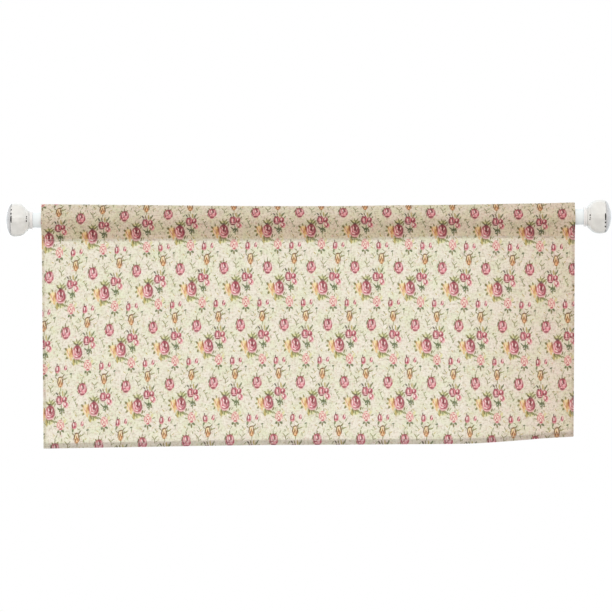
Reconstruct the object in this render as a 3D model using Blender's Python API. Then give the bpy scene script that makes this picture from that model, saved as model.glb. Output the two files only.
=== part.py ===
"""Window valance on a curtain rod.

A flat panel of flowered cloth hangs by its rod pocket from a plain round rod that ends in
faceted knobs. Metres, +Z up. The rod lies along X and the printed face looks along -Y. The
origin is the middle of the rod's axis, where the rod is held.
"""

import math
from collections import namedtuple

import bmesh
import bpy
from mathutils import Vector

GAP = 0.0003  # between neighbouring pieces

# Rod, collars and knobs
ROD_RADIUS = 0.0150
ROD_LENGTH = 1.0474
ROD_SIDES = 48
ROD_EDGE = 0.0006
COLLAR_RADIUS = 0.0177
COLLAR_WIDTH = 0.0048
COLLAR_EDGE = 0.0009
COLLAR_SIDES = 40
KNOB_FACES = 6  # wide faces round the knob, with a narrow one between each two
NARROW_FACE_DEG = 14.0
WIDE_FACE_STEPS = 4

# A row for each ring of the knob, from its outer tip to its neck. Depth is measured from the
# tip, and round is 0 on the cut faces and 1 on the turned neck.
Ring = namedtuple("Ring", "depth radius round")
KNOB_RINGS = (
    Ring(0.0000, 0.0085, 0.0),
    Ring(0.0020, 0.0150, 0.0),
    Ring(0.0058, 0.0240, 0.0),
    Ring(0.0105, 0.0310, 0.0),
    Ring(0.0118, 0.0314, 0.0),
    Ring(0.0170, 0.0332, 0.0),
    Ring(0.0228, 0.0337, 0.0),
    Ring(0.0290, 0.0324, 0.0),
    Ring(0.0345, 0.0288, 0.1),
    Ring(0.0392, 0.0240, 0.5),
    Ring(0.0400, 0.0216, 1.0),
    Ring(0.0436, 0.0194, 1.0),
    Ring(0.0447, 0.0166, 1.0),
    Ring(0.0463, 0.0164, 1.0),
)

# Cloth
CLOTH_WIDTH = 1.0160
CLOTH_SHIFT = -0.0010  # the panel sits a little left of the rod's middle
CLOTH_THICKNESS = 0.0012
HEM_LAYER = 0.0009  # what a turned hem adds behind the cloth, pressed flat
SIDE_HEM_WIDTH = 0.0050
BOTTOM_HEM_HEIGHT = 0.0100
TURN_IN_HEIGHT = 0.0030  # of the pocket's back edge, below its stitching
STEP_RUN = 0.0008  # along the cloth, for a layer to begin or end

# Rod pocket
POCKET_SLACK = 0.0012  # between the rod and the cloth where the pocket is widest
WIDEST_HEIGHT = -0.0030  # of that point, from the rod's axis
CREST_RADIUS = 0.0040  # of the pressed fold along the top
SLOPE_PULL = 0.0055  # how firmly the cloth keeps its direction where it leaves the rod
WIDEST_PULL = 0.0060  # the same at the widest point, above it and below it
SEAM_PULL = (0.0070, 0.0170)  # the same at the stitching, as (depth, height)
CREST_STEPS = 2
SLOPE_STEPS = 5
FRONT_STEPS = 6
CUSP_RISE = 0.0010  # the pocket's inside ends this far above its stitching

# A row for each place across the cloth, 0 at its left edge and 1 at its right. Crest is the
# height of the top fold above the rod's axis, seam and hem are depths below that axis, and
# back is how far the hem hangs behind it.
Station = namedtuple("Station", "across crest seam hem back")
STATIONS = (
    Station(0.00, 0.0292, 0.0389, 0.4350, -0.0035),
    Station(0.21, 0.0259, 0.0391, 0.4327, 0.0010),
    Station(0.38, 0.0234, 0.0401, 0.4309, -0.0012),
    Station(0.54, 0.0225, 0.0406, 0.4309, 0.0000),
    Station(0.68, 0.0232, 0.0388, 0.4308, -0.0015),
    Station(0.80, 0.0238, 0.0373, 0.4303, 0.0005),
    Station(0.87, 0.0245, 0.0378, 0.4268, 0.0045),
    Station(0.94, 0.0254, 0.0385, 0.4218, 0.0100),
    Station(1.00, 0.0263, 0.0391, 0.4187, 0.0130),
)

# Shallow upright waves of the hanging panel, which fade out towards the stitching
Wave = namedtuple("Wave", "length depth phase")
WAVES = (
    Wave(0.312, 0.0014, 0.6),
    Wave(0.147, 0.0009, 2.1),
    Wave(0.071, 0.0004, 4.0),
)

INNER_COLUMNS = 38
BODY_ROWS = 9

PALE_METAL = (0.86, 0.88, 0.89, 1.0)
PALE_GLASS = (0.84, 0.83, 0.80, 1.0)
CREAM_CLOTH = (0.80, 0.74, 0.60, 1.0)


def material(name, colour, roughness, metallic=0.0):
    made = bpy.data.materials.new(name)
    made.use_nodes = True
    shader = made.node_tree.nodes["Principled BSDF"]
    shader.inputs["Base Color"].default_value = colour
    shader.inputs["Roughness"].default_value = roughness
    shader.inputs["Metallic"].default_value = metallic
    made.diffuse_color = colour
    return made


def add_object(name, mesh, finish, parent, smooth_deg):
    mesh.materials.append(finish)
    mesh.shade_smooth()
    mesh.set_sharp_from_angle(angle=math.radians(smooth_deg))
    made = bpy.data.objects.new(name, mesh)
    bpy.context.collection.objects.link(made)
    made.parent = parent
    return made


def mesh_from(name, form):
    """The finished mesh, its faces turned outwards."""
    bmesh.ops.recalc_face_normals(form, faces=form.faces[:])
    if form.calc_volume(signed=True) < 0:
        bmesh.ops.reverse_faces(form, faces=form.faces[:])
    mesh = bpy.data.meshes.new(name)
    form.to_mesh(mesh)
    form.free()
    return mesh


def turned_bar(name, radius, length, sides, edge):
    """A round bar along X about the origin, with its end edges broken."""
    form = bmesh.new()
    bmesh.ops.create_cone(
        form,
        cap_ends=True,
        segments=sides,
        radius1=radius,
        radius2=radius,
        depth=length,
    )
    half = length / 2
    rims = [
        e for e in form.edges if all(abs(abs(v.co.z) - half) < edge / 10 for v in e.verts)
    ]
    bmesh.ops.bevel(form, geom=rims, offset=edge, segments=1, affect="EDGES")
    for v in form.verts:
        v.co = Vector((v.co.z, v.co.x, v.co.y))
    return mesh_from(name, form)


def make_rod(parent, finish):
    mesh = turned_bar("curtain_rod", ROD_RADIUS, ROD_LENGTH, ROD_SIDES, ROD_EDGE)
    return add_object("curtain_rod", mesh, finish, parent, 40)


def make_collar(name, side, parent, finish):
    mesh = turned_bar(name, COLLAR_RADIUS, COLLAR_WIDTH, COLLAR_SIDES, COLLAR_EDGE)
    collar = add_object(name, mesh, finish, parent, 40)
    collar.location.x = side * (ROD_LENGTH / 2 + GAP + COLLAR_WIDTH / 2)
    return collar


def knob_angles():
    """Angles of a knob ring's corners: both edges of a narrow face, then a wide face."""
    pitch = 2 * math.pi / KNOB_FACES
    narrow = math.radians(NARROW_FACE_DEG)
    angles = []
    for face in range(KNOB_FACES):
        start = face * pitch + narrow / 2
        for step in range(WIDE_FACE_STEPS + 1):
            angles.append(start + (pitch - narrow) * step / WIDE_FACE_STEPS)
    return angles


def facet_share(angle):
    """Radius of the cut section at an angle, as a share of its corner's radius."""
    pitch = 2 * math.pi / KNOB_FACES
    wide = pitch - math.radians(NARROW_FACE_DEG)
    off_middle = abs((angle % pitch) - pitch / 2)
    return math.cos(wide / 2) / math.cos(min(off_middle, wide / 2))


def make_finial(name, side, parent, finish):
    """A cut knob along X, its tip outwards, 0.3 mm from its collar."""
    form = bmesh.new()
    rings = []
    length = KNOB_RINGS[-1].depth
    for ring in KNOB_RINGS:
        corners = []
        for angle in knob_angles():
            share = facet_share(angle)
            radius = ring.radius * (share + (1 - share) * ring.round)
            # Angle 0 looks along -Y, so a narrow face looks out of the printed side.
            place = (
                side * (length - ring.depth),
                -radius * math.cos(angle),
                radius * math.sin(angle),
            )
            corners.append(form.verts.new(place))
        rings.append(corners)
    for near, far in zip(rings, rings[1:]):
        for i, corner in enumerate(near):
            j = (i + 1) % len(near)
            form.faces.new((corner, near[j], far[j], far[i]))
    form.faces.new(rings[0])
    form.faces.new(rings[-1])
    finial = add_object(name, mesh_from(name, form), finish, parent, 12)
    finial.location.x = side * (ROD_LENGTH / 2 + COLLAR_WIDTH + 2 * GAP)
    return finial


def station_at(across):
    """The station table read at any place across, as a smooth curve through its rows."""
    last = len(STATIONS) - 1
    i = 0
    while i < last - 1 and across > STATIONS[i + 1].across:
        i += 1
    before, a = STATIONS[max(i - 1, 0)], STATIONS[i]
    b, after = STATIONS[i + 1], STATIONS[min(i + 2, last)]
    span = b.across - a.across
    t = (across - a.across) / span
    values = [across]
    for column in range(1, len(a)):
        slope_a = (b[column] - before[column]) / (b.across - before.across)
        slope_b = (after[column] - a[column]) / (after.across - a.across)
        values.append(
            (2 * t**3 - 3 * t**2 + 1) * a[column]
            + (t**3 - 2 * t**2 + t) * span * slope_a
            + (3 * t**2 - 2 * t**3) * b[column]
            + (t**3 - t**2) * span * slope_b
        )
    return Station(*values)


def curve_points(start, pull_a, pull_b, end, steps):
    """Points of a cubic curve from start to end, without its start."""
    points = []
    for step in range(1, steps + 1):
        t = step / steps
        points.append(
            start * (1 - t) ** 3
            + pull_a * 3 * t * (1 - t) ** 2
            + pull_b * 3 * t**2 * (1 - t)
            + end * t**3
        )
    return points


def pocket_half(station, rod_clear, seam_depth):
    """Middle line of the pocket's cloth from the crest to the stitching, as (depth, height).

    Depth is measured outwards from the rod's axis. The pressed crest and the rod share a
    tangent, and the cloth leaves that slope for its widest point and then the stitching.
    """
    top = station.crest - CLOTH_THICKNESS / 2
    lean = math.acos((rod_clear - CREST_RADIUS) / (top - CREST_RADIUS))
    crest_centre = top - CREST_RADIUS
    points = []
    for step in range(CREST_STEPS + 1):
        turn = lean * step / CREST_STEPS
        place = (CREST_RADIUS * math.sin(turn), crest_centre + CREST_RADIUS * math.cos(turn))
        points.append(Vector(place))
    touch = Vector((rod_clear * math.sin(lean), rod_clear * math.cos(lean)))
    along = Vector((math.cos(lean), -math.sin(lean)))
    widest = Vector((rod_clear + POCKET_SLACK, WIDEST_HEIGHT))
    upright = Vector((0, WIDEST_PULL))
    seam = Vector((seam_depth, -station.seam))
    points.append(touch)
    points += curve_points(touch, touch + along * SLOPE_PULL, widest + upright, widest, SLOPE_STEPS)
    points += curve_points(widest, widest - upright, seam + Vector(SEAM_PULL), seam, FRONT_STEPS)
    return points


def side_hem_share(across):
    """1 over a turned side hem, 0 between the two."""
    from_edge = min(across, 1 - across) * CLOTH_WIDTH
    return 1.0 if from_edge < SIDE_HEM_WIDTH + STEP_RUN / 2 else 0.0


def offset_line(points, distance):
    """The same line moved sideways, outwards for a positive distance."""
    moved = []
    for i, point in enumerate(points):
        before = points[max(i - 1, 0)]
        after = points[min(i + 1, len(points) - 1)]
        along = (after - before).normalized()
        if i == 0:
            along = Vector((1, 0))
        moved.append(point + Vector((-along.y, along.x)) * distance)
    return moved


def body_rows(station, across):
    """(height, front y, back y) of the hanging panel, from its stitching to its hem."""
    extra = HEM_LAYER * side_hem_share(across)
    seam, hem = -station.seam, -station.hem
    low_hem = hem + BOTTOM_HEM_HEIGHT
    heights = [seam, seam - TURN_IN_HEIGHT, seam - TURN_IN_HEIGHT - STEP_RUN]
    clear = heights[-1]
    heights += [clear + (low_hem + STEP_RUN - clear) * (i + 1) / BODY_ROWS for i in range(BODY_ROWS)]
    heights += [low_hem, hem + CLOTH_THICKNESS / 2, hem]
    rows = []
    for i, height in enumerate(heights):
        fall = (seam - height) / (seam - hem)
        middle = station.back * fall**1.5
        for wave in WAVES:
            turn = 2 * math.pi * across * CLOTH_WIDTH / wave.length + wave.phase
            middle += wave.depth * math.sin(turn) * fall
        front = middle - CLOTH_THICKNESS / 2
        back = middle + CLOTH_THICKNESS / 2 + extra
        if i < 2:
            back += CLOTH_THICKNESS + extra
        if height < low_hem + STEP_RUN / 2:
            back += HEM_LAYER
        if i == len(heights) - 1:
            front += CLOTH_THICKNESS / 2
            back -= CLOTH_THICKNESS / 2
        rows.append((height, front, back))
    return rows


def cloth_section(across):
    """The cloth cut across X: its outer line, its pocket's inner line, and the pairs of
    corners that face each other through the cloth, from the crest down either side."""
    station = station_at(across)
    extra = HEM_LAYER * side_hem_share(across)
    rod_clear = ROD_RADIUS + GAP + CLOTH_THICKNESS / 2 + extra
    cusp = (CLOTH_THICKNESS / 2 + extra, -station.seam + CUSP_RISE)
    halves = []
    for side, seam_depth in ((-1, 0.0), (1, CLOTH_THICKNESS + 2 * extra)):
        line = pocket_half(station, rod_clear, seam_depth)
        outside = offset_line(line, CLOTH_THICKNESS / 2)
        inside = offset_line(line, -CLOTH_THICKNESS / 2 - extra)
        outside = [(side * p.x, p.y) for p in outside[:-1]]
        inside = [(side * p.x, p.y) for p in inside[:-1]] + [cusp]
        halves.append((outside, inside))
    return halves, body_rows(station, across)


def column_places():
    """Places across the cloth for its columns, with the side hems' steps."""
    hem = SIDE_HEM_WIDTH / CLOTH_WIDTH
    step = STEP_RUN / CLOTH_WIDTH
    first = hem + step
    inner = [first + (1 - 2 * first) * i / INNER_COLUMNS for i in range(INNER_COLUMNS + 1)]
    return [0.0, hem] + inner + [1 - hem, 1.0]


def cloth_column(form, across):
    """Corners of one column, as the outer loop, the inner loop and the end's faces."""
    x = CLOTH_SHIFT + (across - 0.5) * CLOTH_WIDTH
    halves, rows = cloth_section(across)

    def corner(y, z):
        return form.verts.new((x, y, z))

    front_out = [corner(*p) for p in halves[0][0]]
    back_out = [corner(*p) for p in halves[1][0][1:]]
    front_in = [corner(*p) for p in halves[0][1]]
    back_in = [corner(*p) for p in halves[1][1][1:-1]]
    front_body = [corner(front, height) for height, front, back in rows]
    back_body = [corner(back, height) for height, front, back in rows]

    outer = front_out + front_body + back_body[::-1] + back_out[::-1]
    inner = front_in + back_in[::-1]
    front_outer = front_out + [front_body[0]]
    back_outer = [front_out[0]] + back_out + [back_body[0]]
    back_inner = [front_in[0]] + back_in + [front_in[-1]]
    ends = []
    for outside, inside in ((front_outer, front_in), (back_outer, back_inner)):
        for i in range(len(outside) - 1):
            ends.append((outside[i], outside[i + 1], inside[i + 1], inside[i]))
    ends.append((front_body[0], back_body[0], front_in[-1]))
    for i in range(len(rows) - 1):
        ends.append((front_body[i], front_body[i + 1], back_body[i + 1], back_body[i]))
    return outer, inner, ends


def make_cloth(parent, finish):
    """One closed solid: the panel, its hems and the pocket that goes round the rod."""
    form = bmesh.new()
    columns = [cloth_column(form, across) for across in column_places()]
    for near, far in zip(columns, columns[1:]):
        for loop in (0, 1):
            corners, others = near[loop], far[loop]
            for i, corner in enumerate(corners):
                j = (i + 1) % len(corners)
                form.faces.new((corner, corners[j], others[j], others[i]))
    for column in (columns[0], columns[-1]):
        for face in column[2]:
            form.faces.new(face)
    return add_object("valance_cloth", mesh_from("valance_cloth", form), finish, parent, 50)


def build():
    for old in list(bpy.data.objects):
        bpy.data.objects.remove(old, do_unlink=True)

    valance = bpy.data.objects.new("valance", None)
    bpy.context.collection.objects.link(valance)

    metal = material("white_metal", PALE_METAL, 0.35)
    glass = material("pale_glass", PALE_GLASS, 0.12)
    cloth = material("flowered_cloth", CREAM_CLOTH, 0.85)

    make_rod(valance, metal)
    for side, word in ((-1, "left"), (1, "right")):
        make_collar(f"collar_{word}", side, valance, glass)
        make_finial(f"finial_{word}", side, valance, glass)
    make_cloth(valance, cloth)


build()
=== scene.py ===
"""Looks of the window valance: flowered cloth, its stitching, the white rod and the cut knobs.

Everything is in metres in the part's own frame. The rod's axis is the X axis and the printed
face looks along -Y.
"""

import math
from collections import namedtuple

import bpy
import numpy as np
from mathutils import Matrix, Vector


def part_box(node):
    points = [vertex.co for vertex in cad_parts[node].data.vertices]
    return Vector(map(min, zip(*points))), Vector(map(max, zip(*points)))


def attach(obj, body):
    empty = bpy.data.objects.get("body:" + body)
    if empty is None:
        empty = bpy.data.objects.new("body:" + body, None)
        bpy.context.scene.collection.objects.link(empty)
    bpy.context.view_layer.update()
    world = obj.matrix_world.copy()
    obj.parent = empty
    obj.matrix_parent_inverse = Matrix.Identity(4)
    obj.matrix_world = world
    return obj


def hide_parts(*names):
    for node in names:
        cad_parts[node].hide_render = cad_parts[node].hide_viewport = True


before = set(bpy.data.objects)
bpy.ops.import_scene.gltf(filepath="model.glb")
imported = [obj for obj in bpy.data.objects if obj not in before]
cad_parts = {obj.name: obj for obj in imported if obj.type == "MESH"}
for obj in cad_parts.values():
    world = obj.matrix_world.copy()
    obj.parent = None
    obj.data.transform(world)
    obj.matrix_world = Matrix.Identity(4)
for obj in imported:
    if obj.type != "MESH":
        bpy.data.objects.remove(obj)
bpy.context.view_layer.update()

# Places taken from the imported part
CLOTH_LOW, CLOTH_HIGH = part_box("valance_cloth")
LEFT_INSET = 0.0016  # of the finished edge from the plain solid's
CLOTH_WIDTH = CLOTH_HIGH.x - CLOTH_LOW.x - LEFT_INSET
CLOTH_MIDDLE = CLOTH_HIGH.x - CLOTH_WIDTH / 2
ROD_RADIUS = (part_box("curtain_rod")[1].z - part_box("curtain_rod")[0].z) / 2

# Cloth
CLOTH_THICKNESS = 0.0008
LAYER = 0.0010  # from the middle of one layer of cloth to the next, pressed together
AIR = 0.0004  # between the rod and the pocket
SIDE_HEM_WIDTH = 0.0050
BOTTOM_HEM_HEIGHT = 0.0095
TURN_IN_HEIGHT = 0.0030  # of the pocket's back edge, below its stitching
STACK_FADE = 0.0090  # the corners' extra layers push their neighbours apart this far in
NARROWING = (0.0012, 0.0038)  # of the panel towards its hem, at its left and right edge
PANEL_FALL = 0.392  # from the stitching to the hem

# Stitches
STITCH_PITCH = 0.0032
STITCH_LENGTH = 0.0025
THREAD_RADIUS = 0.00026
HEM_STITCH_INSET = 0.0013
BACK_STITCH_SHARE = 0.4  # of the way from a side hem's raw edge to the grid's next column

# Rod pocket
POCKET_SLACK = 0.0012  # between the rod and the cloth where the pocket is widest
WIDEST_HEIGHT = -0.0030
CREST_RADIUS = 0.0040  # of the pressed fold along the top
SLOPE_PULL = 0.0055  # how firmly the cloth keeps its direction where it leaves the rod
WIDEST_PULL = 0.0060
SEAM_PULL = (0.0070, 0.0170)

# A row for each place across the cloth, 0 at its left edge and 1 at its right. Crest is the
# height of the top fold above the rod's axis, seam and hem are depths below that axis, and
# back is how far the hem hangs behind it.
Station = namedtuple("Station", "across crest seam hem back")
STATIONS = (
    Station(0.00, 0.0301, 0.0375, 0.4350, -0.0035),
    Station(0.21, 0.0270, 0.0377, 0.4327, 0.0010),
    Station(0.38, 0.0245, 0.0386, 0.4309, -0.0012),
    Station(0.54, 0.0233, 0.0390, 0.4309, 0.0000),
    Station(0.68, 0.0242, 0.0372, 0.4308, -0.0015),
    Station(0.80, 0.0246, 0.0358, 0.4303, 0.0005),
    Station(0.87, 0.0256, 0.0364, 0.4268, 0.0045),
    Station(0.94, 0.0262, 0.0372, 0.4218, 0.0100),
    Station(1.00, 0.0275, 0.0378, 0.4187, 0.0130),
)

# Shallow upright waves of the hanging panel, which fade out towards the stitching
Wave = namedtuple("Wave", "length depth phase")
WAVES = (
    Wave(0.312, 0.0014, 0.6),
    Wave(0.147, 0.0009, 2.1),
    Wave(0.071, 0.0004, 4.0),
)
# Small puckers that the stitching draws in the cloth beside it
PUCKERS = (
    Wave(0.0290, 0.00022, 0.3),
    Wave(0.0173, 0.00018, 1.9),
    Wave(0.0111, 0.00012, 5.0),
)
PUCKER_REACH = 0.011
PUCKER_START = 0.004  # below the stitching, where the puckers reach their full depth
HEM_PUCKER_SHIFT = 1.7  # so that the hem's puckers don't repeat the seam's
BACK_CURVE = 1.5  # how late the panel begins to swing back

# How finely the cloth's grid is divided
CREST_STEPS = 6
SLOPE_STEPS = 7
WIDEST_STEPS = 8
FRONT_STEPS = 18
TURN_STEPS = 3
PANEL_ROWS = 86
FOLD_STEPS = 6
HEM_ROWS = 4
PANEL_COLUMNS = 216
SIDE_ROWS = 3

# How the print lies on the cloth
PRINT_GAIN = 1.07  # of length along the pocket, which is cut fuller than it hangs
SEAM_TAKE = 0.0038  # of the print's height, drawn into the stitching
SEAM_TAKE_REACH = 0.008
Bow = namedtuple("Bow", "across drop")
PRINT_BOW = (
    Bow(0.00, 0.0180),
    Bow(0.04, 0.0135),
    Bow(0.11, 0.0088),
    Bow(0.195, 0.0046),
    Bow(0.28, 0.0016),
    Bow(0.37, 0.0002),
    Bow(0.505, 0.0000),
    Bow(0.67, 0.0018),
    Bow(0.76, 0.0036),
    Bow(0.84, 0.0053),
    Bow(0.917, 0.0072),
    Bow(1.00, 0.0070),
)


def smooth_read(rows, place):
    """A table read at any place in its first column, as a smooth curve through its rows."""
    last = len(rows) - 1
    i = 0
    while i < last - 1 and place > rows[i + 1][0]:
        i += 1
    before, a = rows[max(i - 1, 0)], rows[i]
    b, after = rows[i + 1], rows[min(i + 2, last)]
    span = b[0] - a[0]
    t = (place - a[0]) / span
    values = [place]
    for column in range(1, len(a)):
        slope_a = (b[column] - before[column]) / (b[0] - before[0])
        slope_b = (after[column] - a[column]) / (after[0] - a[0])
        values.append(
            (2 * t**3 - 3 * t**2 + 1) * a[column]
            + (t**3 - 2 * t**2 + t) * span * slope_a
            + (3 * t**2 - 2 * t**3) * b[column]
            + (t**3 - t**2) * span * slope_b
        )
    return type(a)(*values)


def ease(low, high, value):
    """0 below low, 1 above high, and a smooth step between."""
    t = min(max((value - low) / (high - low), 0.0), 1.0)
    return t * t * (3 - 2 * t)


def curve_points(start, pull_a, pull_b, end, steps):
    """Points of a cubic curve from start to end, without its start."""
    points = []
    for step in range(1, steps + 1):
        t = step / steps
        points.append(
            start * (1 - t) ** 3
            + pull_a * 3 * t * (1 - t) ** 2
            + pull_b * 3 * t**2 * (1 - t)
            + end * t**3
        )
    return points


def straight_points(start, end, steps):
    return [start.lerp(end, step / steps) for step in range(1, steps + 1)]


def pocket_half(station, rod_clear, seam_depth):
    """The pocket's cloth from the crest to the stitching, as (depth, height)."""
    top = station.crest - CLOTH_THICKNESS / 2
    lean = math.acos((rod_clear - CREST_RADIUS) / (top - CREST_RADIUS))
    points = []
    for step in range(CREST_STEPS + 1):
        turn = lean * step / CREST_STEPS
        height = top - CREST_RADIUS + CREST_RADIUS * math.cos(turn)
        points.append(Vector((CREST_RADIUS * math.sin(turn), height)))
    touch = Vector((rod_clear * math.sin(lean), rod_clear * math.cos(lean)))
    along = Vector((math.cos(lean), -math.sin(lean)))
    widest = Vector((rod_clear + POCKET_SLACK, WIDEST_HEIGHT))
    upright = Vector((0, WIDEST_PULL))
    seam = Vector((seam_depth, -station.seam))
    points += straight_points(points[-1], touch, SLOPE_STEPS)
    points += curve_points(touch, touch + along * SLOPE_PULL, widest + upright, widest, WIDEST_STEPS)
    points += curve_points(widest, widest - upright, seam + Vector(SEAM_PULL), seam, FRONT_STEPS)
    return points


def stacked(across):
    """1 over a turned side hem, 0 between the two hems, where cloth lies in fewer layers."""
    from_edge = min(across, 1 - across) * CLOTH_WIDTH
    return 1 - ease(SIDE_HEM_WIDTH, SIDE_HEM_WIDTH + STACK_FADE, from_edge)


def ripple(waves, across):
    """How deep a set of waves is at a place across the cloth."""
    depth = 0.0
    for wave in waves:
        turn = 2 * math.pi * across * CLOTH_WIDTH / wave.length + wave.phase
        depth += wave.depth * math.sin(turn)
    return depth


def pucker(across, from_stitching):
    return ripple(PUCKERS, across) * math.exp(-abs(from_stitching) / PUCKER_REACH)


def panel_depth(station, height):
    """How far behind the rod's axis the hanging panel is at a height."""
    across = station.across
    fall = (-station.seam - height) / (station.hem - station.seam)
    depth = station.back * fall**BACK_CURVE + ripple(WAVES, across) * fall
    depth += pucker(across, height + station.seam) * ease(0, PUCKER_START, -station.seam - height)
    depth += pucker(HEM_PUCKER_SHIFT * across, height + station.hem - BOTTOM_HEM_HEIGHT)
    return depth


def cloth_line(across):
    """The cloth cut across X, as one folded line of (y, z) from the pocket's back edge over
    the rod and down the front to the turned hem. Also the index of its front stitching."""
    station = smooth_read(STATIONS, across)
    spread = LAYER * (1 + 2 * stacked(across))
    rod_clear = ROD_RADIUS + AIR + CLOTH_THICKNESS / 2 + LAYER * stacked(across)
    seam, hem = -station.seam, -station.hem
    back = pocket_half(station, rod_clear, spread)
    line = []
    for step in range(TURN_STEPS):
        line.append(Vector((spread, seam - TURN_IN_HEIGHT * (1 - step / TURN_STEPS))))
    line += back[::-1]
    line += [Vector((-p.x, p.y)) for p in pocket_half(station, rod_clear, 0.0)[1:]]
    front_seam = len(line) - 1
    fold = spread / 2
    low = hem + CLOTH_THICKNESS / 2 + fold
    for row in range(1, PANEL_ROWS + 1):
        height = seam + (low - seam) * row / PANEL_ROWS
        line.append(Vector((panel_depth(station, height), height)))
    lowest = line[-1].copy()
    for step in range(1, FOLD_STEPS + 1):
        turn = math.pi * step / FOLD_STEPS
        line.append(lowest + Vector((fold * (1 - math.cos(turn)), -fold * math.sin(turn))))
    for row in range(1, HEM_ROWS + 1):
        height = low + (BOTTOM_HEM_HEIGHT - fold) * row / HEM_ROWS
        line.append(Vector((panel_depth(station, height) + spread, height)))
    return line, front_seam


def print_heights(line, front_seam):
    """The print's own height at each point of a cloth line, counted along the cloth from the
    stitching."""
    heights = [0.0] * len(line)
    heights[front_seam] = line[front_seam].y
    above = 0.0
    for i in range(front_seam - 1, -1, -1):
        above += (line[i + 1] - line[i]).length
        taken = SEAM_TAKE * (1 - math.exp(-above / SEAM_TAKE_REACH))
        heights[i] = heights[front_seam] + above * PRINT_GAIN - taken
    for i in range(front_seam + 1, len(line)):
        heights[i] = heights[i - 1] - (line[i] - line[i - 1]).length
    return heights


def across_path():
    """(x, how many layers behind the front one, the print's own x) over both side hems."""
    left = CLOTH_MIDDLE - CLOTH_WIDTH / 2
    fold = LAYER / 2
    inset = CLOTH_THICKNESS / 2 + fold
    hem = []
    for row in range(SIDE_ROWS):
        along = (SIDE_HEM_WIDTH - inset) * (1 - row / SIDE_ROWS)
        hem.append((left + inset + along, 1.0, left + inset - math.pi * fold - along))
    for step in range(FOLD_STEPS):
        turn = math.pi * step / FOLD_STEPS
        x = left + inset - fold * math.sin(turn)
        hem.append((x, (1 + math.cos(turn)) / 2, left + inset - fold * (math.pi - turn)))
    path = list(hem)
    first, last = left + inset, left + CLOTH_WIDTH - inset
    for column in range(PANEL_COLUMNS + 1):
        x = first + (last - first) * column / PANEL_COLUMNS
        path.append((x, 0.0, x))
    for x, layers, own_x in hem[::-1]:
        path.append((2 * CLOTH_MIDDLE - x, layers, 2 * CLOTH_MIDDLE - own_x))
    return path


def folded_cloth():
    """Points of the cloth's middle surface, one row of the grid for each place across. With
    each point goes the print's own place, and how far it is above the stitching and above the
    lowest fold. Last is the seam's index in a row."""
    points, places, levels = [], [], []
    path = across_path()
    for x, layers, own_x in path:
        across = (x - CLOTH_MIDDLE) / CLOTH_WIDTH + 0.5
        line, front_seam = cloth_line(across)
        bow = smooth_read(PRINT_BOW, across).drop
        heights = print_heights(line, front_seam)
        for i, point in enumerate(line):
            along = (line[min(i + 1, len(line) - 1)] - line[max(i - 1, 0)]).normalized()
            inwards = Vector((-along.y, along.x)) * LAYER * layers
            fall = min(max(line[front_seam].y - point.y, 0) / PANEL_FALL, 1)
            pull = (NARROWING[0] * (1 - across) - NARROWING[1] * across) * fall
            points.append((x + pull, point.x + inwards.x, point.y + inwards.y))
            places.append((own_x + pull, heights[i] + bow))
            levels.append((heights[i] - heights[front_seam], point.y - line[-HEM_ROWS - 1].y))
    columns = len(path)
    rows = len(points) // columns
    maps = {
        "print": np.array(places).reshape(columns, rows, 2),
        "levels": np.array(levels).reshape(columns, rows, 2),
    }
    return np.array(points).reshape(columns, rows, 3), maps, front_seam


def smooth_mesh(name, vertices, faces):
    mesh = bpy.data.meshes.new(name)
    mesh.from_pydata(vertices, [], faces)
    mesh.shade_smooth()
    return mesh


def grid_mesh(name, points, maps):
    columns, rows = points.shape[:2]
    index = np.arange(columns * rows).reshape(columns, rows)
    faces = np.stack(
        (index[:-1, :-1], index[:-1, 1:], index[1:, 1:], index[1:, :-1]), axis=-1
    ).reshape(-1, 4)
    mesh = smooth_mesh(name, points.reshape(-1, 3).tolist(), faces.tolist())
    for word, values in maps.items():
        layer = mesh.uv_layers.new(name=word)
        corners = values.reshape(-1, 2)[faces.reshape(-1)]
        layer.data.foreach_set("uv", corners.astype(np.float32).reshape(-1))
    return mesh


def add_piece(mesh, materials, replaced=()):
    """An object of the mesh's own name."""
    for made in materials:
        mesh.materials.append(made)
    piece = bpy.data.objects.new(mesh.name, mesh)
    bpy.context.scene.collection.objects.link(piece)
    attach(piece, "root")
    if replaced:
        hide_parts(*replaced)
    return piece


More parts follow.
